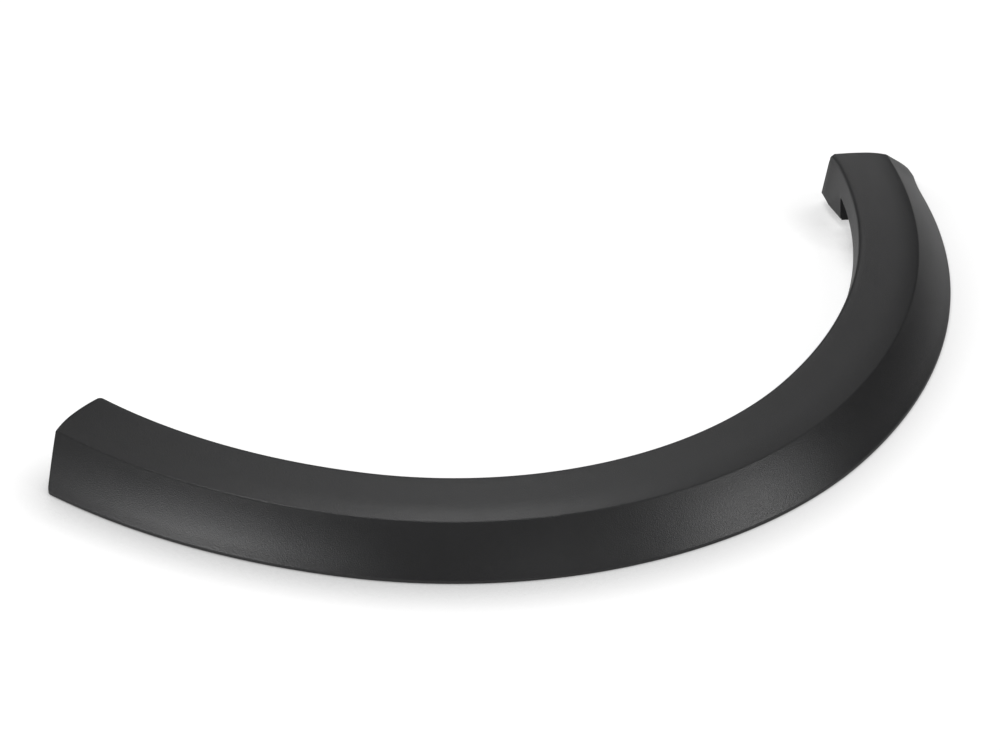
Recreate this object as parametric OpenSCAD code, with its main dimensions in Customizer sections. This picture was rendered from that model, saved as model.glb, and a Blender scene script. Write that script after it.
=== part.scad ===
// Wheel arch trim, one moulding that covers the edge of a wheel opening.
// It lies face up on its body side edge: the crown of the arch points to -Y,
// the front leg ends on the left and the sill leg on the right.

/* [Arch line] */
// Radius of the wheel side edge along the crown
crown_r = 350; // [300:1:420]
// Radius of the wheel side edge along both legs
leg_r = 499; // [440:1:600]
// Half of the angle that the crown arc takes
crown_half = 33.5; // [28:0.5:42]
// Angle from the crown's middle to the front end
front_end = 63.5; // [54:0.5:72]
// Angle from the crown's middle to the sill end
sill_end = 82; // [72:0.5:85]

/* [Section] */
// Width of the broad face, from the wheel side edge to the crease
face_w = 55.3; // [48:0.1:66]
// Width of the sloping face, from the crease to the body side edge
slope_w = 31.5; // [25:0.5:40]
// Height of the crease above the body side edge
crease_h = 40.6; // [34:0.2:46]
// Height of the wheel side edge above the body side edge
edge_h = 49.4; // [47.4:0.2:58]
// Height of the upright lip at the body side edge
lip_h = 2.8; // [2:0.1:5]
// Wall thickness of the moulding
wall = 2.8; // [2:0.1:3.4]
// Radius along the crease
crease_round = 4; // [3.6:0.1:6]
// Radius along the wheel side edge
edge_round = 3.6; // [3.5:0.1:5]
// Radius between the sloping face and the lip
lip_round = 1.6; // [0.8:0.1:2]
// Radius inside the corner of the lip
inner_round = 0.4; // [0.2:0.1:1]

/* [Wheel side flange] */
// Depth of the flange below the wheel side edge
flange_d = 18.5; // [14:0.5:22]
// Lean of the flange away from upright, in degrees
draft = 13.3; // [6:0.1:16]
// Depth of the tab at each end
tab_d = 40; // [32:0.5:42]
// Length of the tab at each end
tab_l = 50; // [40:1:60]

/* [End cuts] */
// How far the front end's lower corner is cut back from square
front_back = 20; // [0:0.5:25]
// How far the sill end's lower corner runs on past square
sill_on = 26; // [0:0.5:30]
// How far both end lines bow out across the broad face
end_bow = 3; // [0:0.5:4]
// Radius of the upright corner between the flange and the front end
front_corner = 5; // [2:0.5:7]
// Radius of the upright corner between the flange and the sill end
sill_corner = 3.5; // [2:0.5:7]
// Radius of the front end's lower corner
front_foot = 7; // [2:0.5:9]
// Radius of the sill end's lower corner
sill_foot = 4; // [2:0.5:5]
// Thickness of the closing wall at each end
end_wall = 2.4; // [1.8:0.1:3]

/* [Clip towers] */
// Number of clip towers under the broad face
tower_count = 7; // [4:1:9]
// Angle between each end and the clip tower next to it
tower_inset = 10; // [9:0.5:14]
// Distance from the wheel side edge to the middle of a tower
tower_u = 27; // [24:0.5:30]
// Width of a tower across the arch
tower_w = 24; // [20:0.5:26]
// Length of a tower along the arch
tower_l = 22; // [18:0.5:28]
// Thickness of a tower's walls
tower_wall = 2; // [1.6:0.1:2.4]
// Height of a tower's seat above the body side edge
seat_z = 4; // [2:0.5:8]
// Thickness of a tower's seat
seat_t = 2.5; // [2:0.1:4]
// Diameter of the clip hole in a seat
clip_d = 8.4; // [6:0.1:10]
// Width of the slot through which a clip slides in
slot_w = 5.2; // [4:0.1:7]

/* [Stiffening ribs] */
// Angle from one rib to the next
rib_step = 7; // [5:0.5:10]
// Thickness of a rib
rib_t = 1.6; // [1.2:0.1:2]
// How far a rib reaches from the crease along the broad face
rib_face = 13; // [8:0.5:15]
// How far a rib reaches from the crease down the sloping face
rib_slope = 30; // [15:0.5:34]
// How far a rib reaches from the wheel side edge into the corner
rib_edge = 11; // [6:0.5:11.5]

/* [Hidden] */
$fn = 180;
// Steps in each rounded corner of the section
round_steps = 5;
// Steps in the bow of an end line
bow_steps = 6;
// How far a cutting shape runs past what it cuts
over = 10;
total_w = face_w + slope_w;
// Angle that each swept arc runs past its end before the end is cut
spare = 4;

function unit(v) = v / norm(v);
function mix(a, b, share) = a + (b - a) * share;
// Point on a corner's fillet, or the corner itself where the radius is nil
function fillet(a, b, c, r) =
    r <= 0 ? [b] :
    let (u = unit(a - b), v = unit(c - b), half = acos(u * v) / 2,
         middle = b + unit(u + v) * r / sin(half),
         from = b + u * r / tan(half) - middle,
         to = b + v * r / tan(half) - middle,
         start = atan2(from.y, from.x),
         turn = (atan2(to.y, to.x) - start + 540) % 360 - 180)
    [for (i = [0:round_steps]) middle + r * [cos(start + turn * i / round_steps), sin(start + turn * i / round_steps)]];
// Open line with its inner corners rounded
function rounded(line, radii) =
    [for (i = [0:len(line) - 1])
        each (i == 0 || i == len(line) - 1) ? [line[i]] : fillet(line[i - 1], line[i], line[i + 1], radii[i])];
// Normal of one stretch of a line, on its left
function left_of(a, b) = let (d = unit(b - a)) [-d.y, d.x];
// Open line moved to its left by a distance
function inset(line, by) =
    [for (i = [0:len(line) - 1])
        let (before = i == 0 ? left_of(line[0], line[1]) : left_of(line[i - 1], line[i]),
             after = i == len(line) - 1 ? before : left_of(line[i], line[i + 1]))
        line[i] + (before + after) * by / (1 + before * after)];
function backwards(line) = [for (i = [len(line) - 1:-1:0]) line[i]];

// Outer skin of the section: across from the wheel side edge, and up
skin = [[total_w, 0], [total_w, lip_h], [face_w, crease_h], [0, edge_h], [-tab_d * tan(draft), edge_h - tab_d]];
skin_radii = [0, lip_round, crease_round, edge_round, 0];
inner_radii = [0, inner_round, crease_round - wall, edge_round - wall, 0];
// Middle of the wall, where ribs and towers end
mid = inset(skin, wall / 2);
function mid_z(u) = mix(mid[3].y, mid[2].y, (u - mid[3].x) / (mid[2].x - mid[3].x));

// Arch line: its arcs meet where they have the same direction
function along(theta) = [sin(theta), -cos(theta)];
function arc_r(theta) = abs(theta) > crown_half ? leg_r : crown_r;
function arc_middle(theta) = abs(theta) > crown_half ? (crown_r - leg_r) * along(sign(theta) * crown_half) : [0, 0];
function at(theta, u) = arc_middle(theta) + (arc_r(theta) + u) * along(theta);
// Angle that a length takes on a leg, at a distance from the wheel side edge
function leg_angle(length, u) = length / (leg_r + u) * 180 / PI;

// End line of the sill leg, or of the front leg seen in a mirror
function end_corner(end, run) = at(end + leg_angle(run, total_w), total_w);
function bow(share) = end_bow * 4 * share * (1 - share);
function end_line(end, run) =
    let (way = [cos(end), sin(end)])
    concat([at(end, -face_w)],
           [for (i = [0:bow_steps]) at(end, face_w * i / bow_steps) + way * bow(i / bow_steps)],
           [mix(at(end, face_w), end_corner(end, run), 2)]);

// Lower corner of an end, rounded, seen from above
function foot_arc(end, run, r) =
    fillet(at(end, face_w), end_corner(end, run), at(end + leg_angle(run - 2 * r, total_w), total_w), r);

// Origin: under the middle of the part's box
front_arc = foot_arc(front_end, -front_back, front_foot);
sill_arc = foot_arc(sill_end, sill_on, sill_foot);
left_reach = max([for (p = front_arc) p.x]);
right_reach = max([for (p = sill_arc) p.x]);
back_reach = max([for (p = sill_arc) p.y]);
box_middle = [(right_reach - left_reach) / 2, (back_reach - crown_r - total_w) / 2];

// Turns a section through half of the crown and one leg, and a little past the crown's middle
module sweep(end)
    rotate([0, 0, crown_half - 90]) {
        rotate_extrude(angle = crown_half + spare, start = -crown_half - spare)
            translate([crown_r, 0]) children();
        translate([crown_r - leg_r, 0, 0])
            rotate_extrude(angle = end - crown_half) translate([leg_r, 0]) children();
    }

// Stands a shape on the arch line: X across the arch, Y along it
module place(theta)
    translate(at(theta, 0)) rotate([0, 0, theta - 90]) children();

// Thin wall across the arch, drawn across and up
module web(thickness, outline)
    rotate([90, 0, 0]) linear_extrude(height = thickness, center = true) polygon(outline);

module section()
    polygon(concat(rounded(skin, skin_radii), backwards(rounded(inset(skin, wall), inner_radii))));

// Space below the flange, between the two tabs
module relief_section()
    translate([-tab_d, -over]) square([tab_d + wall + edge_round, edge_h - flange_d + over]);

// Everything past an end line, or past a line set back from it
module past_end(end, run, set_back = 0) {
    way = [cos(end), sin(end)];
    line = [for (p = end_line(end, run)) p - way * set_back];
    last = line[len(line) - 1];
    far = way * ((leg_r + total_w) * sin(2 * spare) + abs(run) + over);
    translate([0, 0, -over])
        linear_extrude(height = edge_h + 2 * over) polygon(concat(line, [last + far, line[0] + far]));
}

module closing_wall(end, run)
    difference() {
        intersection() {
            translate(arc_middle(end))
                rotate_extrude(angle = 2 * spare, start = end - spare - 90) translate([leg_r, 0]) polygon(mid);
            past_end(end, run, end_wall);
        }
        past_end(end, run);
    }

// What lies outside a corner's arc, seen from above
module outside_corner(arc, corner) {
    last = len(arc) - 1;
    polygon(concat([arc[0] + unit(arc[0] - arc[1]) * over],
                   [for (i = [1:last - 1]) arc[i]],
                   [arc[last] + unit(arc[last] - arc[last - 1]) * over,
                    corner + unit(corner - arc[0]) * over + unit(corner - arc[last]) * over]));
}

// Rounds an end's two corners: the leaning one beside the flange and the lower one
module round_corners(end, run, corner_r, foot_r) {
    place(end) translate([0, 0, edge_h]) rotate([0, draft, 0]) translate([0, 0, -edge_h - over])
        linear_extrude(height = edge_h + 2 * over)
            outside_corner(fillet([0, -over], [0, 0], [face_w / bow_steps, bow(1 / bow_steps)], corner_r), [0, 0]);
    translate([0, 0, -over]) linear_extrude(height = edge_h + over)
        outside_corner(foot_arc(end, run, foot_r), end_corner(end, run));
}

// One half of the moulding, from the crown's middle to its end
module half_shell(end, run, corner_r, foot_r) {
    far = 2 * leg_r;
    difference() {
        union() {
            difference() {
                sweep(end + spare) section();
                past_end(end, run);
            }
            closing_wall(end, run);
        }
        round_corners(end, run, corner_r, foot_r);
        sweep(end - leg_angle(tab_l, 0)) relief_section();
        translate([-far, -far, -over]) cube([far, 2 * far, edge_h + 2 * over]);
    }
}

module shell() {
    half_shell(sill_end, sill_on, sill_corner, sill_foot);
    mirror([1, 0, 0]) half_shell(front_end, -front_back, front_corner, front_foot);
}

// Three-sided tower with a seat that holds a push-in clip
module clip_tower() {
    low = tower_u - tower_w / 2;
    high = tower_u + tower_w / 2;
    difference() {
        union() {
            for (side = [-1, 1])
                translate([0, side * (tower_l - tower_wall) / 2, 0])
                    web(tower_wall, [[low, seat_z], [high, seat_z], [high, mid_z(high)], [low, mid_z(low)]]);
            web(tower_l, [[high - tower_wall, seat_z], [high, seat_z],
                          [high, mid_z(high)], [high - tower_wall, mid_z(high - tower_wall)]]);
            translate([low, -tower_l / 2, seat_z]) cube([tower_w, tower_l, seat_t]);
        }
        translate([tower_u, 0, seat_z - over]) cylinder(h = seat_t + 2 * over, d = clip_d);
        translate([low - over, -slot_w / 2, seat_z - over]) cube([tower_w / 2 + over, slot_w, seat_t + 2 * over]);
    }
}

// Rib in the corner under the crease, and one in the corner of the flange
module stiffening_rib() {
    web(rib_t, [mid[2] + unit(mid[3] - mid[2]) * rib_face, mid[2], mid[2] + unit(mid[1] - mid[2]) * rib_slope]);
    web(rib_t, [mid[3] + unit(mid[2] - mid[3]) * rib_edge, mid[3], mid[3] + unit(mid[4] - mid[3]) * rib_edge]);
}

module wheel_arch_trim() {
    first = tower_inset - front_end;
    last = sill_end - tower_inset;
    color("#3b3b3d") translate([-box_middle.x, -box_middle.y, 0]) {
        shell();
        for (i = [0:tower_count - 1])
            place(mix(first, last, i / (tower_count - 1))) clip_tower();
        for (theta = [rib_step - front_end:rib_step:sill_end - rib_step / 2])
            place(theta) stiffening_rib();
    }
}

wheel_arch_trim();
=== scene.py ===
"""Looks of a wheel arch trim: one matte plastic moulding that lies face up on a pale floor.

Sizes are in millimetres and degrees, and the meshes are scaled to metres as they are made.
"""

import logging
import math
from dataclasses import dataclass, field
from enum import Enum, IntEnum

import bmesh
import bpy
from mathutils import Matrix, Vector


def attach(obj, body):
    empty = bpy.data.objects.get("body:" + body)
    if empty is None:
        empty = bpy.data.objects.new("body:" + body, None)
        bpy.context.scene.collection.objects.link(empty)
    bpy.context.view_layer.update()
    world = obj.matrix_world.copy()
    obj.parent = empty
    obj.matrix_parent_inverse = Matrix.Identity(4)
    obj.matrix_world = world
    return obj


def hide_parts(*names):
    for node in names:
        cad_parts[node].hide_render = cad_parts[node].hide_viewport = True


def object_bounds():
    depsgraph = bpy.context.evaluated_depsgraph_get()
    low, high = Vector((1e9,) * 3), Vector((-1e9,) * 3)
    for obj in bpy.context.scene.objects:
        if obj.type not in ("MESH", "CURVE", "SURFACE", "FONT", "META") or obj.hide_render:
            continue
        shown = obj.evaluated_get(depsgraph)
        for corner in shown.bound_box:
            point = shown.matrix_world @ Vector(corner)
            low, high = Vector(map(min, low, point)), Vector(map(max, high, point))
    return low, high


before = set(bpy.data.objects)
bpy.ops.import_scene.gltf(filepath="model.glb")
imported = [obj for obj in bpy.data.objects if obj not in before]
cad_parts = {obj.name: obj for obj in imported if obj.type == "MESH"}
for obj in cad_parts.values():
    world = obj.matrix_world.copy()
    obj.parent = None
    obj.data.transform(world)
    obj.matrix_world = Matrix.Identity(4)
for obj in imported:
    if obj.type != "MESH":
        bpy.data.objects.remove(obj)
cad_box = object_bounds()

log = logging.getLogger("wheel_arch_trim")
MM = 0.001
WELD = 0.001
NEAR = 0.01
TINY_ANGLE = 1e-6


class End(Enum):
    """The two ends of the arch, as the sign of their angle."""

    FRONT = -1
    SILL = 1


class Finish(IntEnum):
    """The moulding's two finishes, as the numbers of its material slots."""

    OUTSIDE = 0
    BACK = 1


def mix(start: float, stop: float, share: float) -> float:
    """Returns the value that lies a share of the way from start to stop."""
    return start + (stop - start) * share


def left_of(start: Vector, stop: Vector) -> Vector:
    """Returns the unit normal on the left of a stretch of a line."""
    way = (stop - start).normalized()
    return Vector((-way.y, way.x))


def fillet(before: Vector, corner: Vector, after: Vector, radius: float, steps: int) -> list[Vector]:
    """Rounds one corner of a line in a plane.

    Args:
        before: A point on the stretch that reaches the corner.
        corner: The sharp corner.
        after: A point on the stretch that leaves it.
        radius: Radius of the rounding.
        steps: Number of steps along it.

    Returns:
        The points of the rounding, from the first stretch to the second.
    """
    back = (before - corner).normalized()
    ahead = (after - corner).normalized()
    half = back.angle(ahead) / 2
    middle = corner + (back + ahead).normalized() * radius / math.sin(half)
    start = corner + back * radius / math.tan(half) - middle
    stop = corner + ahead * radius / math.tan(half) - middle
    first = math.atan2(start.y, start.x)
    turn = (math.atan2(stop.y, stop.x) - first + 3 * math.pi) % (2 * math.pi) - math.pi
    angles = [first + turn * i / steps for i in range(steps + 1)]
    return [middle + Vector((math.cos(a), math.sin(a))) * radius for a in angles]


def close_block(mesh: bmesh.types.BMesh, first: list[Vector], second: list[Vector]) -> None:
    """Adds a closed block between two outlines, in the finish of the hidden side.

    Args:
        mesh: The mesh.
        first: Outline of the block's first side.
        second: Outline of its other side, with its points in the same order.
    """
    ones = [mesh.verts.new(point) for point in first]
    others = [mesh.verts.new(point) for point in second]
    faces = [mesh.faces.new(ones), mesh.faces.new(list(reversed(others)))]
    for i in range(len(ones)):
        after = (i + 1) % len(ones)
        faces.append(mesh.faces.new([ones[after], ones[i], others[i], others[after]]))
    for face in faces:
        face.material_index = Finish.BACK


def add_web(mesh: bmesh.types.BMesh, corners: list[tuple[Matrix, Vector]], thickness: float) -> None:
    """Adds a thin upright web across the arch.

    Args:
        mesh: The mesh.
        corners: Its corners, each with the place on the arch that it is measured from.
        thickness: Its thickness along the arch.
    """
    sides = []
    for side in (-0.5, 0.5):
        sides.append([where @ Vector((p.x, side * thickness, p.y)) for where, p in corners])
    close_block(mesh, *sides)


@dataclass(frozen=True)
class ArchLine:
    """Wheel side edge of the trim, seen from above: a crown arc and two legs that leave it smoothly."""

    crown_r: float = 350.0
    leg_r: float = 499.0
    crown_half: float = 33.5
    front_end: float = 63.5
    sill_end: float = 82.0
    front_run: float = -20.0
    sill_run: float = 26.0

    def outward(self, theta: float) -> Vector:
        """Returns the direction away from the wheel at an angle from the crown's middle."""
        return Vector((math.sin(math.radians(theta)), -math.cos(math.radians(theta))))

    def point(self, theta: float, across: float) -> Vector:
        """Finds a place seen from above.

        Args:
            theta: Angle from the crown's middle.
            across: Distance from the wheel side edge.

        Returns:
            The place in the arch's own axes.
        """
        way = self.outward(theta)
        if abs(theta) <= self.crown_half:
            return way * (self.crown_r + across)
        middle = self.outward(math.copysign(self.crown_half, theta)) * (self.crown_r - self.leg_r)
        return middle + way * (self.leg_r + across)

    def leg_turn(self, length: float, across: float) -> float:
        """Returns the angle that a length takes on a leg."""
        return math.degrees(length / (self.leg_r + across))

    def end_angle(self, end: End) -> float:
        """Returns the angle of one end, without its sign."""
        return self.front_end if end is End.FRONT else self.sill_end

    def run(self, end: End) -> float:
        """Returns how far the lower corner of one end runs past square."""
        return self.front_run if end is End.FRONT else self.sill_run


@dataclass(frozen=True)
class Section:
    """Section of the moulding: face, crease, slope, lip and flange."""

    face_w: float = 55.3
    slope_w: float = 31.5
    crease_h: float = 40.6
    edge_h: float = 49.4
    lip_h: float = 2.8
    wall: float = 2.8
    crease_round: float = 4.0
    edge_round: float = 3.6
    lip_round: float = 1.6
    least_round: float = 0.4
    flange_d: float = 18.5
    tab_d: float = 40.0
    draft: float = 13.3

    @property
    def width(self) -> float:
        """Whole width across the face and the slope."""
        return self.face_w + self.slope_w

    @property
    def face_slope(self) -> float:
        """Fall of the face for each millimetre across it."""
        return (self.edge_h - self.crease_h) / self.face_w

    def lean(self, depth: float) -> float:
        """Returns how far the flange has leant towards the wheel at a depth."""
        return depth * math.tan(math.radians(self.draft))

    def corners(self, inset: float = 0.0) -> list[Vector]:
        """Finds the sharp corners of the skin.

        Args:
            inset: Distance inside the outer skin.

        Returns:
            The corners, from the body side edge to the tab's lower edge.
        """
        line = [
            Vector((self.width, 0.0)),
            Vector((self.width, self.lip_h)),
            Vector((self.face_w, self.crease_h)),
            Vector((0.0, self.edge_h)),
            Vector((-self.lean(self.tab_d), self.edge_h - self.tab_d)),
        ]
        moved = []
        for i, corner in enumerate(line):
            ahead = left_of(line[i], line[i + 1]) if i + 1 < len(line) else None
            behind = left_of(line[i - 1], line[i]) if i else ahead
            ahead = ahead or behind
            moved.append(corner + (behind + ahead) * inset / (1 + behind.dot(ahead)))
        return moved

    def radius(self, outer: float, inset: float) -> float:
        """Returns the radius that a corner of the outer skin has inside the wall."""
        return max(outer - inset, self.least_round)

    def height(self, across: float, inset: float = 0.0) -> float:
        """Finds the height of the skin, with sharp corners.

        Args:
            across: Distance from the wheel side edge.
            inset: Distance inside the outer skin.

        Returns:
            The height above the floor.
        """
        _, lip, crease, edge, _ = self.corners(inset)
        if across < crease.x:
            return mix(edge.y, crease.y, (across - edge.x) / (crease.x - edge.x))
        return mix(crease.y, lip.y, (across - crease.x) / (lip.x - crease.x))


@dataclass(frozen=True)
class EndCut:
    """How one end of the moulding is closed and rounded.

    A corner takes a length along the arch, its reach, and a width across it. Its power is 1 for an
    even rounding, less for a fuller one and more for a flatter one.

    The end line bows out by its bow at the middle of the face and by its lift at the crease, and
    its lower corner stops short of the solid's.
    """

    wheel_reach: float = 4.0
    body_reach: float = 3.9
    wheel_power: float = 0.95
    body_power: float = 0.9
    wheel_width: float = 4.0
    body_width: float = 3.3
    rim: float = 1.4
    wall: float = 2.4
    bow: float = 3.0
    lift: float = 0.0
    short: float = 0.0

    @classmethod
    def for_sill(cls) -> "EndCut":
        """Returns the sill end's cut, which is tighter and shorter than the front end's."""
        return cls(
            wheel_reach=2.4, wheel_width=2.4, body_reach=3.6, body_width=2.8,
            bow=2.0, lift=2.0, short=4.0,
        )


@dataclass
class Shell:
    """The moulding's wall: an outer and an inner skin with the same net, joined along their rims.

    The face rolls off towards the crease by its crown, and the slope swells near the sill end. The
    sill end's upper inner corner flares towards the wheel, and its tab's lower inner corner is
    folded back and reaches on along the arch by its skew.
    """

    arch: ArchLine
    section: Section
    cuts: dict[End, EndCut]
    tab_l: float = 50.0
    relief_round: float = 3.0
    relief_steps: tuple[float, ...] = (0.2, 0.5, 1.0)
    end_steps: tuple[float, ...] = (10.0, 17.0, 24.0, 31.0, 38.0, 44.0)
    station_gap: float = 7.78
    rim_steps: int = 5
    rim_gap: float = 0.5
    least_rim: float = 0.3
    corner_steps: int = 6
    upper_rows: int = 3
    lower_rows: int = 4
    blend: float = 12.0
    face_rows: int = 12
    crown_from: float = 34.0
    crown_k: float = 0.0045
    slope_rows: int = 8
    slope_crown: float = 0.8
    fold_from: float = 26.0
    fold_depth: float = 20.0
    fold_rise: float = 0.34
    skew: float = 4.0
    flare: float = 2.5
    flare_l: float = 26.0
    swell: float = 5.0
    swell_rise: float = 8.0
    swell_l: float = 15.0
    swell_start: float = 0.7
    swell_low: float = 1.8
    swell_high: float = 0.3
    swell_peak: float = 0.4226
    swell_out: float = 0.77
    swell_up: float = 0.64
    lip_gap: float = 0.4

    def station_angles(self) -> list[float]:
        """Spaces the net's columns along the wheel side edge.

        Returns:
            Their angles, from the front end to the sill end.
        """
        near = {}
        for end in End:
            steps = [self.cuts[end].wheel_reach, *self.end_steps, self.tab_l]
            steps += [self.tab_l + self.relief_round * share for share in self.relief_steps]
            near[end] = [self.arch.leg_turn(step, 0.0) for step in steps]
        front = [angle - self.arch.front_end for angle in near[End.FRONT]]
        sill = [self.arch.sill_end - angle for angle in reversed(near[End.SILL])]
        span = sill[0] - front[-1]
        count = round(math.radians(span) * self.arch.leg_r / self.station_gap)
        between = [mix(front[-1], sill[0], i / count) for i in range(1, count)]
        return front + between + sill

    def at_end(self, end: End, across: float, inward: float) -> float:
        """Finds a place near one end.

        Args:
            end: The end.
            across: Distance from the wheel side edge.
            inward: Distance from the end line towards the crown.

        Returns:
            The angle of the place.
        """
        past = max(0.0, across - self.section.face_w) / self.section.slope_w
        share = min(max(across / self.section.face_w, 0.0), 1.0)
        cut = self.cuts[end]
        bow = cut.bow * 4 * share * (1 - share) + cut.lift * share**2
        run = self.arch.run(end) - cut.short
        turn = self.arch.leg_turn(run * past + bow - inward, across)
        return end.value * (self.arch.end_angle(end) + turn)

    def row_angle(self, theta: float, across: float) -> float:
        """Fits a column to a row, because the rows' ends lie at different angles.

        Args:
            theta: Angle of the column at the wheel side edge.
            across: Distance of the row from that edge.

        Returns:
            The column's angle on the row.
        """
        for end in End:
            cut = self.cuts[end]
            first = self.at_end(end, 0.0, cut.wheel_reach)
            near = 1 - abs(theta - first) / self.blend
            if near > 0:
                reach = mix(cut.wheel_reach, cut.body_reach, across / self.section.width)
                theta += near * (self.at_end(end, across, reach) - first)
        return theta

    def profile(self, inset: float) -> tuple[list[Vector], list[Vector], list[Vector]]:
        """Draws the section of one skin.

        Args:
            inset: Distance inside the outer skin.

        Returns:
            The wheel side rounding, the rows between, and the body side rounding.
        """
        shape = self.section
        foot, lip, crease, edge, tab = shape.corners(inset)
        steps = self.rim_steps
        wheel = fillet(tab, edge, crease, shape.radius(shape.edge_round, inset), steps)
        roll = shape.face_w - self.crown_from
        steep = shape.face_slope + self.crown_k * (2 * roll - roll**2 / shape.face_w)
        before = crease + Vector((-1.0, steep))
        bend = fillet(before, crease, lip, shape.radius(shape.crease_round, inset), steps + 1)
        body = fillet(foot, lip, crease, shape.radius(shape.lip_round, inset), steps)
        first_x = max([cut.wheel_width for cut in self.cuts.values()] + [wheel[-1].x + self.rim_gap])
        first = Vector((first_x, shape.height(first_x, inset)))
        last_x = shape.width - max(cut.body_width for cut in self.cuts.values())
        last_x = min(last_x, body[-1].x - self.rim_gap)
        last = Vector((last_x, shape.height(last_x, inset)))
        rows = []
        for i in range(self.face_rows):
            x = mix(first.x, bend[0].x, i / self.face_rows)
            rows.append(Vector((x, shape.height(x, inset) + self.face_crown(x))))
        rows += bend
        outward = -left_of(last, bend[-1])
        for i in range(1, self.slope_rows):
            share = i / self.slope_rows
            bulge = self.slope_crown * 4 * share * (1 - share)
            rows.append(bend[-1].lerp(last, share) + outward * bulge)
        return wheel, rows + [last], body

    def face_crown(self, across: float) -> float:
        """Rolls the face off towards the crease.

        Args:
            across: Distance from the wheel side edge.

        Returns:
            How far the face stands above a plane.
        """
        fall = self.crown_k * (self.section.face_w - self.crown_from) ** 2
        rise = fall * across / self.section.face_w
        return rise - self.crown_k * max(0.0, across - self.crown_from) ** 2

    def wall_heights(self, top: float, middle: float, bottom: float) -> list[float]:
        """Spaces the rows of a wall below its rounding.

        Args:
            top: Height at the rounding.
            middle: Height of the row between the upper and the lower rows.
            bottom: Height of the lower edge.

        Returns:
            The heights, from the top down.
        """
        upper = [mix(top, middle, i / self.upper_rows) for i in range(1, self.upper_rows + 1)]
        lower = [mix(middle, bottom, i / self.lower_rows) for i in range(1, self.lower_rows + 1)]
        return upper + lower

    def place(self, theta: float, across: float, z: float) -> Vector:
        """Places a point of the skin, with the forms that are near the sill end alone.

        Args:
            theta: Angle from the crown's middle.
            across: Distance from the wheel side edge.
            z: Height above the floor.

        Returns:
            The point in the arch's own axes.
        """
        flare = self.flare_at(theta, across, z)
        swell = self.swell_at(theta, across)
        furthest = max(across, self.section.width - self.lip_gap)
        outward = min(across + swell * self.swell_out, furthest)
        flat = self.arch.point(theta, outward - flare)
        return Vector((flat.x, flat.y, z + swell * self.swell_up))

    def flare_at(self, theta: float, across: float, z: float) -> float:
        """Flares the sill end's upper inner corner.

        Args:
            theta: Angle from the crown's middle.
            across: Distance from the wheel side edge.
            z: Height above the floor.

        Returns:
            How far the place stands out towards the wheel.
        """
        along = math.radians(self.arch.sill_end - theta) * self.arch.leg_r
        near = max(0.0, 1 - max(0.0, along) / self.flare_l) ** 2
        high = min(1.0, max(0.0, 1 - (self.section.edge_h - z) / self.section.tab_d))
        return self.flare * near * high * max(0.0, 1 - max(0.0, across) / self.flare_l)

    def swell_at(self, theta: float, across: float) -> float:
        """Swells the slope near the sill end.

        Args:
            theta: Angle from the crown's middle.
            across: Distance from the wheel side edge.

        Returns:
            How far the place stands out of the slope.
        """
        shape = self.section
        share = (across - shape.face_w) / shape.slope_w
        if not 0 < share < 1:
            return 0.0
        along = math.radians(self.at_end(End.SILL, across, 0.0) - theta) * self.arch.leg_r
        form = share**self.swell_low * (1 - share) ** self.swell_high / self.swell_peak
        start = min(1.0, mix(self.swell_start, 1.0, max(0.0, along) / self.swell_rise))
        fade = math.exp(-max(0.0, along - self.swell_rise) / self.swell_l)
        return self.swell * form * start * fade

    def wheel_column(self, theta: float, inset: float, wheel: list[Vector]) -> list[Vector]:
        """Draws a column of the rim on the wheel side.

        Args:
            theta: Angle of the column.
            inset: Distance inside the outer skin.
            wheel: The wheel side rounding.

        Returns:
            Its points, from the lower edge up to the face.
        """
        shape = self.section
        _, _, _, edge, tab = shape.corners(inset)
        flange = shape.edge_h - shape.flange_d
        heights = self.wall_heights(wheel[0].y, flange, tab.y)
        past = min(
            abs(theta - self.at_end(end, 0.0, self.tab_l)) * math.radians(self.arch.leg_r)
            for end in End
        )
        drop = self.relief_round
        if not self.in_tab(theta) and past < self.relief_round:
            rest = self.relief_round - past
            drop = self.relief_round - math.sqrt(max(0.0, self.relief_round**2 - rest**2))
        heights[self.upper_rows] = flange - drop
        slant = (edge.x - tab.x) / (edge.y - tab.y)
        points = [Vector((edge.x - (edge.y - z) * slant, z)) for z in reversed(heights)]
        column = []
        for point in points + wheel:
            turn = 0.0
            if self.in_tab(theta) and theta > 0:
                depth = shape.edge_h - point.y
                point.x += self.folded(theta, depth)
                turn = self.skewed(theta, depth)
            column.append(self.place(theta - turn, point.x, point.y))
        return column

    def skewed(self, theta: float, depth: float) -> float:
        """Skews the sill tab towards the crown below the flange.

        Args:
            theta: Angle of the column.
            depth: Depth below the wheel side edge.

        Returns:
            How far the place reaches on, as an angle.
        """
        along = abs(theta - self.at_end(End.SILL, 0.0, 0.0)) * math.radians(self.arch.leg_r)
        low = max(0.0, depth - self.section.flange_d) / (self.section.tab_d - self.section.flange_d)
        return self.arch.leg_turn(self.skew * low * along / self.tab_l, 0.0)

    def folded(self, theta: float, depth: float) -> float:
        """Bends the sill tab's lower inner corner back, past a slanting fold.

        Args:
            theta: Angle of the column.
            depth: Depth below the wheel side edge.

        Returns:
            How far the place is bent back.
        """
        along = abs(theta - self.at_end(End.SILL, 0.0, 0.0)) * math.radians(self.arch.leg_r)
        rise = self.fold_depth - self.section.tab_d
        fold = Vector((self.tab_l - self.fold_from, rise)).normalized()
        offset = Vector((along - self.fold_from, depth - self.section.tab_d))
        past = fold.x * offset.y - fold.y * offset.x
        return max(0.0, past) * self.fold_rise

    def in_tab(self, theta: float) -> bool:
        """Says whether a column lies on a tab.

        Args:
            theta: Angle of the column.

        Returns:
            True on either of the two tabs.
        """
        front = self.at_end(End.FRONT, 0.0, self.tab_l)
        sill = self.at_end(End.SILL, 0.0, self.tab_l)
        return theta < front + TINY_ANGLE or theta > sill - TINY_ANGLE

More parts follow.
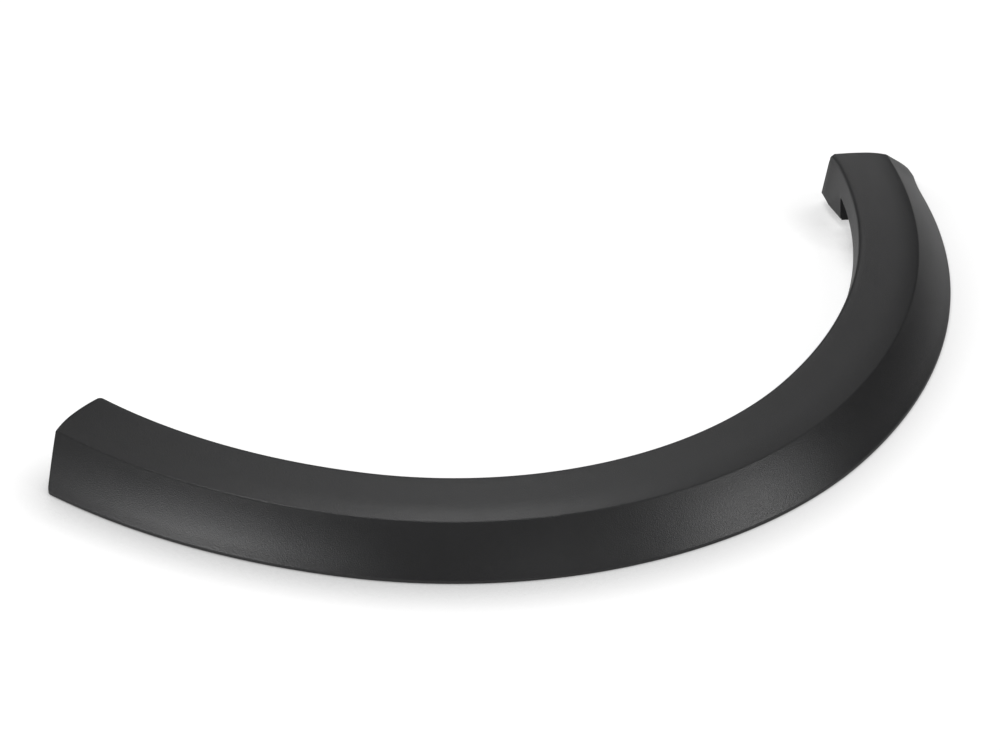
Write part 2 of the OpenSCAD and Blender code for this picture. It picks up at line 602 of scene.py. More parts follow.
    def body_column(self, theta: float, body: list[Vector]) -> list[Vector]:
        """Draws a column of the rim on the body side.

        Args:
            theta: Angle of the column at the wheel side edge.
            body: The body side rounding.

        Returns:
            Its points, from the lower edge up to the slope.
        """
        heights = self.wall_heights(body[0].y, body[0].y / 2, 0.0)
        points = [Vector((body[0].x, z)) for z in reversed(heights)] + body
        return [self.place(self.row_angle(theta, p.x), p.x, p.y) for p in points]

    def rim_inset(self, end: End, inset: float, step: int) -> tuple[float, float]:
        """Rounds the rim of one end.

        Args:
            end: The end.
            inset: Distance inside the outer skin.
            step: Number of the step along the rounding.

        Returns:
            How far in and how far down the step lies.
        """
        radius = max(self.cuts[end].rim - inset, self.least_rim)
        angle = math.pi / 2 * step / self.rim_steps
        return radius * (1 - math.cos(angle)), radius * (1 - math.sin(angle))

    def bottom(self, across: float, inset: float) -> float:
        """Returns the height of an end wall's lower edge."""
        foot, _, _, _, tab = self.section.corners(inset)
        return max(0.0, mix(tab.y, foot.y, (across - tab.x) / (foot.x - tab.x)))

    def end_column(self, end: End, row: Vector, inset: float) -> list[Vector]:
        """Draws a column of an end wall.

        Args:
            end: The end.
            row: Place of the skin's row in the section.
            inset: Distance inside the outer skin.

        Returns:
            Its points, from the lower edge up to the row.
        """
        set_in = self.cuts[end].wall if inset else 0.0
        rim = []
        for step in range(self.rim_steps + 1):
            inward, down = self.rim_inset(end, inset, step)
            rim.append(self.place(self.at_end(end, row.x, set_in + inward), row.x, row.y - down))
        top = rim[0].z
        low = self.bottom(row.x, inset)
        middle = mix(self.section.edge_h - self.section.flange_d, low, row.x / self.section.width)
        heights = self.wall_heights(top, min(middle, (top + low) / 2), low)
        theta = self.at_end(end, row.x, set_in)
        return [self.place(theta, row.x, z) for z in reversed(heights)] + rim

    def wheel_corner(self, end: End, turn: float, inset: float, wheel: list[Vector]) -> list[Vector]:
        """Draws a column of the rounded corner between the flange and an end wall.

        Args:
            end: The end.
            turn: How far the column has turned from the flange, from 0 to 1.
            inset: Distance inside the outer skin.
            wheel: The wheel side rounding.

        Returns:
            Its points, from the lower edge up to the face.
        """
        cut, shape = self.cuts[end], self.section
        set_in = cut.wall if inset else 0.0
        cos = math.cos(turn * math.pi / 2) ** cut.wheel_power
        sin = math.sin(turn * math.pi / 2) ** cut.wheel_power
        reach = cut.wheel_reach - set_in
        _, _, _, edge, tab = shape.corners(inset)
        slant = (edge.x - tab.x) / (edge.y - tab.y)

        def spot(from_edge: float, from_end: float, z: float) -> Vector:
            """Returns the corner's point for a point of the two walls that it joins."""
            across = cut.wheel_width - (cut.wheel_width - from_edge) * cos
            inward = set_in + reach - (reach - from_end) * sin
            return self.place(self.at_end(end, across, inward), across, z)

        rim = []
        for step, point in enumerate(wheel):
            inward, down = self.rim_inset(end, inset, step)
            drop = shape.height(point.x, inset) - point.y
            place = spot(point.x, inward, 0.0)
            across = cut.wheel_width - (cut.wheel_width - point.x) * cos
            place.z = shape.height(across, inset) - mix(drop, down, turn)
            rim.append(place)
        flange = shape.edge_h - shape.flange_d
        across = cut.wheel_width - (cut.wheel_width - edge.x) * cos
        low = self.bottom(across - shape.lean(shape.tab_d) * cos, inset)
        heights = self.wall_heights(rim[0].z, flange, low)
        wall = [spot(edge.x - (edge.y - z) * slant, 0.0, z) for z in reversed(heights)]
        return wall + rim

    def body_corner(self, end: End, turn: float, inset: float, body: list[Vector]) -> list[Vector]:
        """Draws a column of the rounded corner between the lip and an end wall.

        Args:
            end: The end.
            turn: How far the column has turned from the end wall, from 0 to 1.
            inset: Distance inside the outer skin.
            body: The body side rounding.

        Returns:
            Its points, from the lower edge up to the slope.
        """
        cut, shape = self.cuts[end], self.section
        set_in = cut.wall if inset else 0.0
        cos = math.cos(turn * math.pi / 2) ** cut.body_power
        sin = math.sin(turn * math.pi / 2) ** cut.body_power
        width = body[0].x
        start = shape.width - cut.body_width
        reach = cut.body_reach - set_in

        def spot(from_lip: float, from_end: float) -> tuple[float, float]:
            """Returns how far across and at which angle a place of the corner lies."""
            across = start + (width - from_lip - start) * sin
            inward = set_in + reach - (reach - from_end) * cos
            return across, self.at_end(end, across, inward)

        rim = []
        for step, point in enumerate(body):
            inward, down = self.rim_inset(end, inset, step)
            drop = shape.height(point.x, inset) - point.y
            across, theta = spot(width - point.x, inward)
            z = shape.height(across, inset) - mix(down, drop, turn)
            rim.append(self.place(theta, across, z))
        across, theta = spot(0.0, 0.0)
        low = self.bottom(across, inset)
        heights = self.wall_heights(rim[0].z, (rim[0].z + low) / 2, low)
        return [self.place(theta, across, z) for z in reversed(heights)] + rim

    def skin(self, inset: float) -> tuple[list[list[Vector]], list[list[Vector]]]:
        """Draws one skin.

        Args:
            inset: Distance inside the outer skin.

        Returns:
            The rim's columns round the outline, from their lower edge up, and the rows inside them.
        """
        wheel, rows, body = self.profile(inset)
        angles = self.station_angles()
        turns = [i / self.corner_steps for i in range(1, self.corner_steps)]
        rim = [self.wheel_column(theta, inset, wheel) for theta in angles]
        rim += [self.wheel_corner(End.SILL, turn, inset, wheel) for turn in turns]
        rim += [self.end_column(End.SILL, row, inset) for row in rows]
        rim += [self.body_corner(End.SILL, turn, inset, body) for turn in turns]
        rim += [self.body_column(theta, body) for theta in reversed(angles)]
        rim += [self.body_corner(End.FRONT, turn, inset, body) for turn in reversed(turns)]
        rim += [self.end_column(End.FRONT, row, inset) for row in reversed(rows)]
        rim += [self.wheel_corner(End.FRONT, turn, inset, wheel) for turn in reversed(turns)]
        net = [
            [self.place(self.row_angle(theta, row.x), row.x, row.y) for theta in angles]
            for row in rows
        ]
        return rim, net

    def cells(self) -> list[tuple[int, ...]]:
        """Joins the points of one skin.

        Returns:
            The faces, as numbers of the points.
        """
        angles = self.station_angles()
        count, turns = len(angles), self.corner_steps - 1
        rows = len(self.profile(0.0)[1])
        height = self.upper_rows + self.lower_rows + self.rim_steps + 1
        columns = 2 * (count + turns * 2 + rows)

        def rim(column: int, level: int) -> int:
            """Returns the number of a point of the rim."""
            return (column % columns) * height + level

        def net(row: int, column: int) -> int:
            """Returns the number of a point of the net inside the rim."""
            return columns * height + row * count + column

        faces = []
        for column in range(columns):
            on_wheel_side = column < count - 1
            for level in range(height - 1):
                if level < self.lower_rows and on_wheel_side:
                    first, second = angles[column], angles[column + 1]
                    on_tab = self.in_tab(first) and self.in_tab(second)
                    by_tab = level == self.lower_rows - 1 and self.in_relief(first, second)
                    if not on_tab and not by_tab:
                        continue
                lower = rim(column, level), rim(column + 1, level)
                upper = rim(column + 1, level + 1), rim(column, level + 1)
                faces.append(lower + upper)
        top = height - 1
        sill_line = count + turns
        body_side = sill_line + rows + turns
        front_line = body_side + count + turns
        last = rows - 1
        for i in range(count - 1):
            faces.append((rim(i, top), rim(i + 1, top), net(0, i + 1), net(0, i)))
            outer = body_side + count - 1 - i
            faces.append((rim(outer, top), rim(outer - 1, top), net(last, i + 1), net(last, i)))
            for row in range(rows - 1):
                faces.append((net(row, i), net(row, i + 1), net(row + 1, i + 1), net(row + 1, i)))
        for row in range(rows - 1):
            inner = net(row, count - 1), net(row + 1, count - 1)
            sill = sill_line + row
            faces.append(inner + (rim(sill + 1, top), rim(sill, top)))
            front = front_line + last - row
            faces.append((net(row, 0), net(row + 1, 0), rim(front - 1, top), rim(front, top)))
        corners = (
            (count - 1, sill_line, net(0, count - 1)),
            (sill_line + last, body_side, net(last, count - 1)),
            (body_side + count - 1, front_line, net(last, 0)),
            (front_line + last, columns, net(0, 0)),
        )
        for start, stop, inside in corners:
            faces.append(tuple(rim(c, top) for c in range(start, stop + 1)) + (inside,))
        return faces

    def in_relief(self, first: float, second: float) -> bool:
        """Says whether two columns lie within the rounding beside a tab.

        Args:
            first: Angle of the first column.
            second: Angle of the column after it.

        Returns:
            True where both do.
        """
        reach = self.tab_l + self.relief_round + NEAR
        front = self.at_end(End.FRONT, 0.0, reach)
        sill = self.at_end(End.SILL, 0.0, reach)
        return max(first, second) < front or min(first, second) > sill

    def build(self) -> bmesh.types.BMesh:
        """Makes the whole wall.

        Returns:
            One closed mesh in the arch's own axes.
        """
        mesh = bmesh.new()
        cells = self.cells()
        sides = []
        for inset in (0.0, self.section.wall):
            rim, net = self.skin(inset)
            points = [p for column in rim for p in column] + [p for row in net for p in row]
            sides.append([mesh.verts.new(p) for p in points])
        outer, inner = sides
        open_edges: dict[tuple[int, int], None] = {}
        for cell in cells:
            mesh.faces.new([outer[i] for i in cell])
            mesh.faces.new([inner[i] for i in reversed(cell)]).material_index = Finish.BACK
            for start, stop in zip(cell, cell[1:] + cell[:1]):
                if (stop, start) in open_edges:
                    del open_edges[(stop, start)]
                elif (start, stop) in open_edges:
                    del open_edges[(start, stop)]
                else:
                    open_edges[(start, stop)] = None
        for start, stop in open_edges:
            mesh.faces.new([outer[stop], outer[start], inner[start], inner[stop]])
        used = {v for face in mesh.faces for v in face.verts}
        bmesh.ops.delete(mesh, geom=[v for v in mesh.verts if v not in used], context="VERTS")
        bmesh.ops.remove_doubles(mesh, verts=mesh.verts[:], dist=WELD)
        bmesh.ops.dissolve_degenerate(mesh, edges=mesh.edges[:], dist=WELD)
        bmesh.ops.recalc_face_normals(mesh, faces=mesh.faces[:])
        return mesh


@dataclass
class Prism:
    """Closed block with an outline seen from above and a lower and upper height at each point."""

    outline: list[Vector]
    low: float
    tops: list[float]

    def add_to(self, mesh: bmesh.types.BMesh, where: Matrix) -> None:
        """Adds the block to a mesh.

        Args:
            mesh: The mesh.
            where: Place of the block's own axes.
        """
        points = list(zip(self.outline, self.tops))[::-1]
        lower = [where @ Vector((p.x, p.y, self.low)) for p, _ in points]
        upper = [where @ Vector((p.x, p.y, z)) for p, z in points]
        close_block(mesh, lower, upper)


@dataclass
class ClipTower:
    """Three-sided tower under the face, with a slotted seat for a push-in clip."""

    section: Section
    middle: float = 27.0
    width: float = 24.0
    length: float = 22.0
    wall: float = 2.0
    seat_z: float = 4.0
    seat_t: float = 2.5
    hole_d: float = 8.4
    slot_w: float = 5.2
    hole_steps: int = 28
    sink: float = 2.2

    def ceiling(self, across: float) -> float:
        """Returns the height at which the tower ends inside the wall."""
        return self.section.height(across, self.section.wall) + self.sink

    def walls(self) -> Prism:
        """Draws the two side webs and the back web.

        Returns:
            The three webs as one block.
        """
        low, high = self.middle - self.width / 2, self.middle + self.width / 2
        side, inner = self.length / 2, self.length / 2 - self.wall
        outline = [
            (low, -side), (high, -side), (high, side), (low, side),
            (low, inner), (high - self.wall, inner), (high - self.wall, -inner), (low, -inner),
        ]
        points = [Vector(p) for p in outline]
        return Prism(points, self.seat_z, [self.ceiling(p.x) for p in points])

    def seat(self) -> Prism:
        """Draws the seat, whose round hole is open towards the wheel side.

        Returns:
            The seat as one block.
        """
        low, high = self.middle - self.width / 2, self.middle + self.width / 2
        side, radius = self.length / 2, self.hole_d / 2
        mouth = math.asin(self.slot_w / self.hole_d)
        outline = [Vector(p) for p in ((low, -side), (high, -side), (high, side), (low, side))]
        outline.append(Vector((low, self.slot_w / 2)))
        for i in range(self.hole_steps + 1):
            angle = mix(math.pi - mouth, mouth - math.pi, i / self.hole_steps)
            x, y = self.middle + radius * math.cos(angle), radius * math.sin(angle)
            outline.append(Vector((x, y)))
        outline.append(Vector((low, -self.slot_w / 2)))
        return Prism(outline, self.seat_z, [self.seat_z + self.seat_t] * len(outline))


@dataclass
class StiffeningRib:
    """Thin webs in the corner under the crease and in the corner of the flange."""

    section: Section
    thickness: float = 1.6
    face: float = 13.0
    slope: float = 30.0
    edge: float = 11.0

    def add_to(self, mesh: bmesh.types.BMesh, where: Matrix) -> None:
        """Adds both webs.

        Args:
            mesh: The mesh.
            where: Their place on the arch line.
        """
        _, lip, crease, edge, tab = self.section.corners(self.section.wall / 2)
        under_crease = [
            crease + (edge - crease).normalized() * self.face,
            crease,
            crease + (lip - crease).normalized() * self.slope,
        ]
        in_flange = [
            edge + (crease - edge).normalized() * self.edge,
            edge,
            edge + (tab - edge).normalized() * self.edge,
        ]
        for corners in (under_crease, in_flange):
            add_web(mesh, [(where, corner) for corner in corners], self.thickness)


@dataclass
class ReturnWeb:
    """Web that closes a tab's inner edge and runs back under the face."""

    section: Section
    thickness: float = 2.0
    depth: float = 15.0
    fold: float = 0.0

    def add_to(self, mesh: bmesh.types.BMesh, where: Matrix, lower: Matrix) -> None:
        """Adds the web.

        Args:
            mesh: The mesh.
            where: Place of the tab's inner edge at the face.
            lower: Place of the tab's inner edge at its lower end.
        """
        shape = self.section
        _, _, _, edge, tab = shape.corners(shape.wall / 2)
        inner = edge.x + self.depth
        low = tab.y - shape.wall / 2
        corners = [
            (where, edge),
            (where, Vector((inner, shape.height(inner, shape.wall / 2)))),
            (lower, Vector((tab.x + self.fold + self.depth, low))),
            (lower, Vector((tab.x + self.fold, low))),
        ]
        add_web(mesh, corners, self.thickness)


@dataclass
class Moulding:
    """The whole trim in one piece: shell, clip towers, ribs and the webs of the tabs."""

    arch: ArchLine = field(default_factory=ArchLine)
    section: Section = field(default_factory=Section)
    tower_count: int = 7
    tower_inset: float = 10.0
    rib_step: float = 7.0
    sill_fold: float = 5.1
    foot_r: dict[End, float] = field(default_factory=lambda: {End.FRONT: 7.0, End.SILL: 4.0})
    foot_steps: int = 5
    sharp_angle: float = 32.0

    def origin(self) -> Vector:
        """Finds the middle of the part's box, seen from above.

        Returns:
            The origin of the frame, in the arch's own axes.
        """
        front = self.foot_arc(End.FRONT)
        sill = self.foot_arc(End.SILL)
        x = (min(p.x for p in front) + max(p.x for p in sill)) / 2
        y = (max(p.y for p in sill) - self.arch.crown_r - self.section.width) / 2
        return Vector((x, y, 0.0))

    def foot_arc(self, end: End) -> list[Vector]:
        """Rounds one end's lower corner as in the CAD solid.

        Args:
            end: The end.

        Returns:
            The points of the rounding.
        """
        arch, width = self.arch, self.section.width
        radius = self.foot_r[end]
        turns = [arch.leg_turn(run, width) for run in (arch.run(end), arch.run(end) - 2 * radius)]
        corner, beside = (arch.point(end.value * (arch.end_angle(end) + turn), width) for turn in turns)
        crease = arch.point(end.value * arch.end_angle(end), self.section.face_w)
        return fillet(crease, corner, beside, radius, self.foot_steps)

    def on_arch(self, theta: float) -> Matrix:
        """Finds a place on the wheel side edge.

        Args:
            theta: Angle from the crown's middle.

        Returns:
            The place, with X across the arch and Y along it.
        """
        flat = self.arch.point(theta, 0.0)
        turn = Matrix.Rotation(math.radians(theta - 90), 4, "Z")
        return Matrix.Translation((flat.x, flat.y, 0.0)) @ turn

    def add_towers(self, mesh: bmesh.types.BMesh) -> None:
        """Adds the clip towers, evenly along the arch.

        Args:
            mesh: The mesh.
        """
        first = self.tower_inset - self.arch.front_end
        last = self.arch.sill_end - self.tower_inset
        tower = ClipTower(self.section)
        for i in range(self.tower_count):
            where = self.on_arch(mix(first, last, i / (self.tower_count - 1)))
            tower.walls().add_to(mesh, where)
            tower.seat().add_to(mesh, where)

    def add_ribs(self, mesh: bmesh.types.BMesh) -> None:
        """Adds the stiffening ribs, one at each step along the arch.

        Args:
            mesh: The mesh.
        """
        rib = StiffeningRib(self.section)
        theta = self.rib_step - self.arch.front_end
        while theta < self.arch.sill_end - self.rib_step / 2:
            rib.add_to(mesh, self.on_arch(theta))
            theta += self.rib_step

    def add_tab_webs(self, mesh: bmesh.types.BMesh, shell: Shell) -> None:
        """Adds the web at the inner edge of each tab.

        Args:
            mesh: The mesh.
            shell: The shell, whose sill tab is folded and skewed.
        """
        for end in End:
            fold, skew = (self.sill_fold, shell.skew) if end is End.SILL else (0.0, 0.0)
            web = ReturnWeb(self.section, fold=fold)
            inner = shell.tab_l - web.thickness / 2
            places = [self.on_arch(shell.at_end(end, 0.0, inner + more)) for more in (0.0, skew)]
            web.add_to(mesh, *places)

    def to_frame(self, mesh: bmesh.types.BMesh) -> None:
        """Brings a mesh into the CAD frame, in metres, and holds it to the CAD box.

        Args:
            mesh: The mesh, in the arch's own axes.
        """
        matrix = Matrix.Scale(MM, 4) @ Matrix.Translation(-self.origin())
        bmesh.ops.transform(mesh, matrix=matrix, verts=mesh.verts[:])
        for vert in mesh.verts:
            vert.co = Vector([min(max(c, low), high) for c, low, high in zip(vert.co, *cad_box)])

    def build(self) -> bpy.types.Object:
        """Makes the moulding.

        Returns:
            One object in the CAD frame.
        """
        shell = Shell(self.arch, self.section, {End.FRONT: EndCut(), End.SILL: EndCut.for_sill()})
        mesh = shell.build()
        self.add_towers(mesh)
        self.add_ribs(mesh)
        self.add_tab_webs(mesh, shell)
        self.to_frame(mesh)
        data = bpy.data.meshes.new("arch_moulding")
        mesh.to_mesh(data)
        mesh.free()
        data.set_sharp_from_angle(angle=math.radians(self.sharp_angle))
        for face in data.polygons:
            face.use_smooth = True
        piece = bpy.data.objects.new("arch_moulding", data)
        bpy.context.scene.collection.objects.link(piece)
        return piece


def new_material(name: str) -> tuple[bpy.types.Material, bpy.types.Nodes, bpy.types.NodeLinks]:
    """Makes an empty material.

    Args:
        name: Its name.

    Returns:
        The material, its nodes and its links.
    """
    material = bpy.data.materials.new(name)
    material.use_nodes = True
    tree = material.node_tree
    tree.nodes.clear()
    return material, tree.nodes, tree.links


@dataclass(frozen=True)
class MouldedGrain:
    """Node group with the mould's grain and the plastic's slow change of tone."""

    name: str = "moulded_grain"
    scale: float = 900.0
    fine_times: float = 1.7
    fine_detail: float = 3.0
    cell_share: float = 0.6
    slow_scale: float = 22.0
    slow_detail: float = 5.0
    slow_roughness: float = 0.6

    def tree(self) -> bpy.types.NodeTree:
        """Makes the group once, for all the finishes that use it.

        Returns:
            The group, which takes a place and a scale, and gives a height and a mottle.
        """
        if self.name in bpy.data.node_groups:
            return bpy.data.node_groups[self.name]
        group = bpy.data.node_groups.new(self.name, "ShaderNodeTree")
        sockets = group.interface
        sockets.new_socket("Place", in_out="INPUT", socket_type="NodeSocketVector")
        scale = sockets.new_socket("Scale", in_out="INPUT", socket_type="NodeSocketFloat")
        scale.default_value = self.scale
        sockets.new_socket("Height", in_out="OUTPUT", socket_type="NodeSocketFloat")
        sockets.new_socket("Mottle", in_out="OUTPUT", socket_type="NodeSocketFloat")
        nodes, links = group.nodes, group.links
        source = nodes.new("NodeGroupInput")
        result = nodes.new("NodeGroupOutput")
        cells = nodes.new("ShaderNodeTexVoronoi")
        links.new(source.outputs["Place"], cells.inputs["Vector"])
        links.new(source.outputs["Scale"], cells.inputs["Scale"])
        fine = nodes.new("ShaderNodeTexNoise")
        fine.inputs["Detail"].default_value = self.fine_detail
        finer = nodes.new("ShaderNodeMath")
        finer.operation = "MULTIPLY"
        finer.inputs[1].default_value = self.fine_times
        links.new(source.outputs["Scale"], finer.inputs[0])
        links.new(finer.outputs["Value"], fine.inputs["Scale"])
        links.new(source.outputs["Place"], fine.inputs["Vector"])
        both = nodes.new("ShaderNodeMath")
        both.operation = "MULTIPLY_ADD"
        both.inputs[1].default_value = self.cell_share
        links.new(cells.outputs["Distance"], both.inputs[0])
        links.new(fine.outputs["Fac"], both.inputs[2])
        links.new(both.outputs["Value"], result.inputs["Height"])
        slow = nodes.new("ShaderNodeTexNoise")
        slow.inputs["Scale"].default_value = self.slow_scale
        slow.inputs["Detail"].default_value = self.slow_detail
        slow.inputs["Roughness"].default_value = self.slow_roughness
        links.new(source.outputs["Place"], slow.inputs["Vector"])
        links.new(slow.outputs["Fac"], result.inputs["Mottle"])
        return group


@dataclass(frozen=True)
class GrainedPlastic:
    """Matte dark plastic with a fine moulded grain."""

    name: str
    dark: tuple[float, float, float] = (0.026, 0.026, 0.027)
    light: tuple[float, float, float] = (0.033, 0.033, 0.034)
    roughness: float = 0.32
    rough_change: float = 0.03
    grain_scale: float = 900.0
    grain_depth: float = 0.12
    specular: float = 0.5

    def make(self) -> bpy.types.Material:
        """Makes the finish.

        Returns:
            The finish as a material.
        """
        material, nodes, links = new_material(self.name)
        out = nodes.new("ShaderNodeOutputMaterial")
        skin = nodes.new("ShaderNodeBsdfPrincipled")
        skin.inputs["Specular IOR Level"].default_value = self.specular
        links.new(skin.outputs["BSDF"], out.inputs["Surface"])
        place = nodes.new("ShaderNodeTexCoord")
        grain = nodes.new("ShaderNodeGroup")
        grain.node_tree = MouldedGrain().tree()
        grain.inputs["Scale"].default_value = self.grain_scale
        links.new(place.outputs["Object"], grain.inputs["Place"])
        tone = nodes.new("ShaderNodeMix")
        tone.data_type = "RGBA"
        tone.inputs["A"].default_value = (*self.dark, 1.0)
        tone.inputs["B"].default_value = (*self.light, 1.0)
        links.new(grain.outputs["Mottle"], tone.inputs["Factor"])
        links.new(tone.outputs["Result"], skin.inputs["Base Color"])
        rough = nodes.new("ShaderNodeMapRange")
        rough.inputs["To Min"].default_value = self.roughness - self.rough_change
        rough.inputs["To Max"].default_value = self.roughness + self.rough_change
        links.new(grain.outputs["Mottle"], rough.inputs["Value"])
        links.new(rough.outputs["Result"], skin.inputs["Roughness"])
        bump = nodes.new("ShaderNodeBump")
        bump.inputs["Strength"].default_value = 1.0
        bump.inputs["Distance"].default_value = self.grain_depth * MM
        links.new(grain.outputs["Height"], bump.inputs["Height"])
        links.new(bump.outputs["Normal"], skin.inputs["Normal"])
        return material


@dataclass(frozen=True)
class PaleFloor:
    """Plain floor that looks white, in metres, with the lamps' soft shadows and a painted contact
    shadow.

    The camera sees a darker floor with a glow, so that the lamps' shadows show on it. Close to the
    object, on the side away from the light, ambient occlusion dims the glow, which paints a soft
    contact shadow.
    """

    size: float = 30.0
    drop: float = 0.0002
    shade: float = 0.85
    seen_shade: float = 0.4
    glow: float = 0.82
    light_from: tuple[float, float, float] = (0.58, 0.70, 0.42)
    shadow_reach: float = 0.052
    shadow_depth: float = 1.28
    shadow_samples: int = 4

    def build(self) -> bpy.types.Object:
        """Makes the floor.

        Returns:
            The floor as a stage object.
        """
        data = bpy.data.meshes.new("floor")
        half = self.size / 2
        corners = [(-half, -half, 0), (half, -half, 0), (half, half, 0), (-half, half, 0)]
        data.from_pydata(corners, [], [(0, 1, 2, 3)])
        floor = bpy.data.objects.new("floor", data)
        floor.location.z = -self.drop
        bpy.context.scene.collection.objects.link(floor)
        material, nodes, links = new_material("pale_floor")
        out = nodes.new("ShaderNodeOutputMaterial")
        matt = nodes.new("ShaderNodeBsdfDiffuse")
        glow = nodes.new("ShaderNodeEmission")
        path = nodes.new("ShaderNodeLightPath")
        shade = nodes.new("ShaderNodeMapRange")
        shade.inputs["To Min"].default_value = self.shade
        shade.inputs["To Max"].default_value = self.seen_shade
        links.new(path.outputs["Is Camera Ray"], shade.inputs["Value"])
        links.new(shade.outputs["Result"], matt.inputs["Color"])
        power = nodes.new("ShaderNodeMath")
        power.operation = "MULTIPLY"
        links.new(path.outputs["Is Camera Ray"], power.inputs[0])
        # the glow's strength carries the painted contact shadow
        links.new(self.paint_contact_shadow(nodes, links), power.inputs[1])
        links.new(power.outputs["Value"], glow.inputs["Strength"])
        both = nodes.new("ShaderNodeAddShader")
        links.new(matt.outputs["BSDF"], both.inputs[0])
        links.new(glow.outputs["Emission"], both.inputs[1])
        links.new(both.outputs["Shader"], out.inputs["Surface"])
        data.materials.append(material)
        return floor

    def paint_contact_shadow(self, nodes: bpy.types.Nodes, links: bpy.types.NodeLinks) -> bpy.types.NodeSocket:
        """Paints the contact shadow: dims the glow close to the object by ambient occlusion.

        Args:
            nodes: Nodes of the floor's material.
            links: Links of the floor's material.

        Returns:
            The socket with the strength of the glow.
        """
        source = nodes.new("ShaderNodeCombineXYZ")
        for name, value in zip("XYZ", self.light_from):
            source.inputs[name].default_value = value
        # painted shadow: ambient occlusion towards light_from dims the camera-seen glow near the object
        near = nodes.new("ShaderNodeAmbientOcclusion")
        near.samples = self.shadow_samples
        near.inputs["Distance"].default_value = self.shadow_reach
        links.new(source.outputs["Vector"], near.inputs["Normal"])
        fade = nodes.new("ShaderNodeMapRange")
        fade.inputs["To Min"].default_value = self.glow * (1 - self.shadow_depth)
        fade.inputs["To Max"].default_value = self.glow
        links.new(near.outputs["AO"], fade.inputs["Value"])
        return fade.outputs["Result"]


@dataclass(frozen=True)
class SoftBox:
    """One soft studio lamp, in metres and watts."""

    name: str
    place: tuple[float, float, float]
    aim: tuple[float, float, float]
    width: float
    height: float
    power: float

    def build(self) -> bpy.types.Object:
        """Makes the lamp, turned towards what it aims at.

        Returns:
            The lamp.
        """
        data = bpy.data.lights.new(self.name, "AREA")
        data.shape = "RECTANGLE"
        data.size, data.size_y = self.width, self.height
        data.energy = self.power
        lamp = bpy.data.objects.new(self.name, data)
        lamp.location = self.place
        way = Vector(self.aim) - Vector(self.place)
        lamp.rotation_euler = way.to_track_quat("-Z", "Y").to_euler()
        bpy.context.scene.collection.objects.link(lamp)
        return lamp


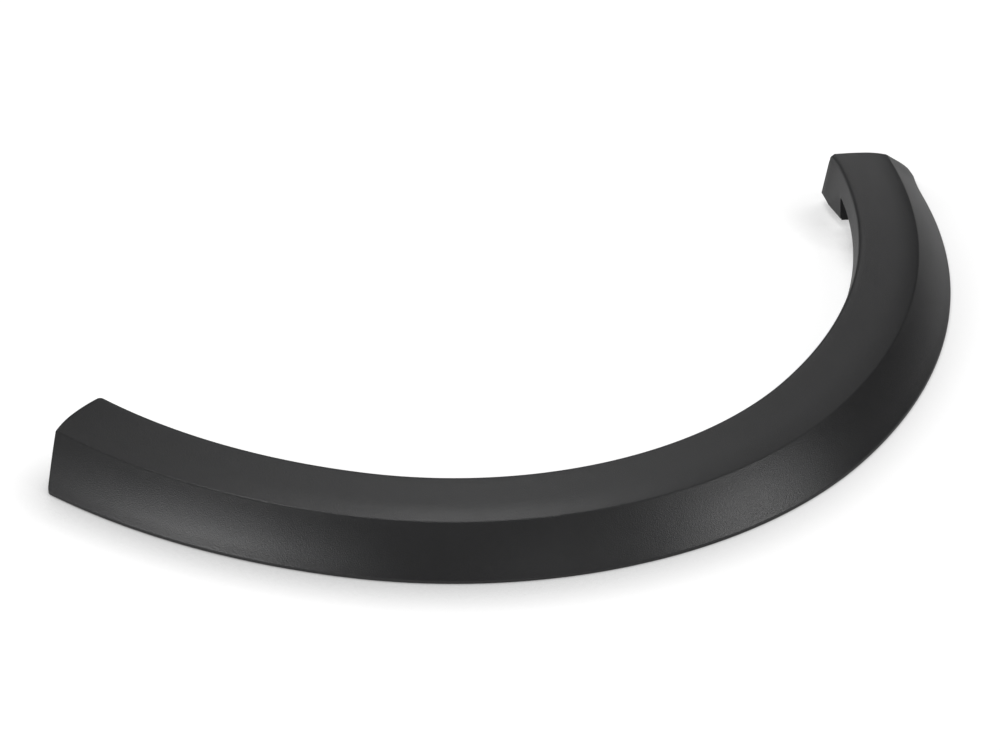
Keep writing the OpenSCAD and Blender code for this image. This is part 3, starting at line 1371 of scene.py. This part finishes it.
@dataclass(frozen=True)
class Studio:
    """Floor, lamps, sky and camera, in metres and radians."""

    eye: tuple[float, float, float] = (-1.353708, -3.057155, 2.149328)
    yaw: float = 0.39975
    pitch: float = 0.56513
    roll: float = 0.01485
    focal_px: float = 4500.0
    frame_px: float = 1000.0
    sensor: float = 36.0
    far: float = 100.0

    def lamps(self) -> list[SoftBox]:
        """Sets out the lamps round the trim.

        Returns:
            The lamps, which aim at the forms that they light.
        """
        middle = (0.0, 0.0, 0.03)
        left_leg = (-0.363, -0.086, 0.03)
        crown = (0.061, -0.225, 0.03)
        crease = (-0.2, -0.19, 0.03)
        crease_left = (-0.26, -0.14, 0.04)
        sill = (0.42, 0.2, 0.03)
        return [
            SoftBox("left_light", (-2.31, -0.80, 1.23), left_leg, 0.5, 0.5, 3.6),
            SoftBox("low_left_light", (-2.31, -0.80, 0.86), left_leg, 1.3, 0.6, 17.2),
            SoftBox("right_light", (1.74, -1.60, 1.04), crown, 1.1, 0.5, 10.1),
            SoftBox("crease_light", (0.25, 0.62, 2.3), crease, 0.4, 0.4, 5.4),
            SoftBox("crease_left_light", (-0.97, 0.27, 2.26), crease_left, 0.3, 0.3, 6.0),
            SoftBox("crease_middle_light", (-0.10, -0.38, 2.35), crease_left, 0.3, 0.3, 4.0),
            SoftBox("top_light", (0.0, 0.0, 2.3), middle, 3.0, 3.0, 2.0),
            SoftBox("high_right_light", (1.4, 0.6, 2.0), middle, 2.2, 2.2, 5.8),
            SoftBox("high_back_light", (-0.23, 1.28, 2.25), middle, 1.0, 1.0, 2.0),
            SoftBox("back_light", (0.68, 1.87, 1.67), middle, 1.2, 1.2, 2.8),
            SoftBox("low_back_light", (-1.22, 2.12, 0.89), middle, 1.0, 1.0, 8.9),
            SoftBox("side_light", (-2.47, 0.44, 0.67), middle, 1.0, 1.0, 1.9),
            SoftBox("front_light", (0.0, -2.25, 1.3), middle, 1.0, 1.0, 2.4),
            SoftBox("front_right_light", (1.63, -1.37, 1.49), middle, 1.2, 1.2, 4.0),
            SoftBox("sill_light", (1.8, 2.4, 0.8), sill, 0.6, 0.6, 1.5),
        ]

    def build_sky(self) -> None:
        """Makes the world: white where the camera sees it, and no light of its own."""
        world = bpy.data.worlds.new("studio")
        world.use_nodes = True
        nodes, links = world.node_tree.nodes, world.node_tree.links
        nodes.clear()
        out = nodes.new("ShaderNodeOutputWorld")
        back = nodes.new("ShaderNodeBackground")
        path = nodes.new("ShaderNodeLightPath")
        links.new(path.outputs["Is Camera Ray"], back.inputs["Strength"])
        links.new(back.outputs["Background"], out.inputs["Surface"])
        bpy.context.scene.world = world

    def build_camera(self) -> bpy.types.Object:
        """Makes the camera at the photograph's viewing angle.

        Returns:
            The camera.
        """
        data = bpy.data.cameras.new("camera")
        data.sensor_width = self.sensor
        data.lens = self.focal_px * self.sensor / self.frame_px
        data.clip_end = self.far
        ahead = Vector((
            math.sin(self.yaw) * math.cos(self.pitch),
            math.cos(self.yaw) * math.cos(self.pitch),
            -math.sin(self.pitch),
        ))
        level = Vector((math.cos(self.yaw), -math.sin(self.yaw), 0.0))
        up = level.cross(ahead)
        right = math.cos(self.roll) * level + math.sin(self.roll) * up
        above = math.cos(self.roll) * up - math.sin(self.roll) * level
        turn = Matrix((right, above, -ahead)).transposed().to_4x4()
        camera = bpy.data.objects.new("camera", data)
        camera.matrix_world = Matrix.Translation(self.eye) @ turn
        bpy.context.scene.collection.objects.link(camera)
        bpy.context.scene.camera = camera
        return camera

    def build(self) -> None:
        """Builds the whole studio."""
        PaleFloor().build()
        for lamp in self.lamps():
            lamp.build()
        self.build_sky()
        self.build_camera()
        bpy.context.scene.view_settings.view_transform = "Standard"


def dress(piece: bpy.types.Object) -> None:
    """Gives the moulding its grained outside and its plainer hidden side.

    Args:
        piece: The moulding.
    """
    finishes = {
        Finish.OUTSIDE: GrainedPlastic("grained_plastic"),
        Finish.BACK: GrainedPlastic("back_plastic", grain_depth=0.03, roughness=0.42),
    }
    for slot in sorted(finishes):
        piece.data.materials.append(finishes[slot].make())


def main() -> None:
    """Builds the trim and the studio."""
    logging.basicConfig(level=logging.INFO, format="%(name)s: %(message)s")
    moulding = Moulding().build()
    dress(moulding)
    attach(moulding, "root")
    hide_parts("wheel_arch_trim")
    log.info("%s: %d faces", moulding.name, len(moulding.data.polygons))
    studio = Studio()
    studio.build()
    log.info("studio: %d lamps", len(studio.lamps()))


if __name__ == "__main__":
    main()
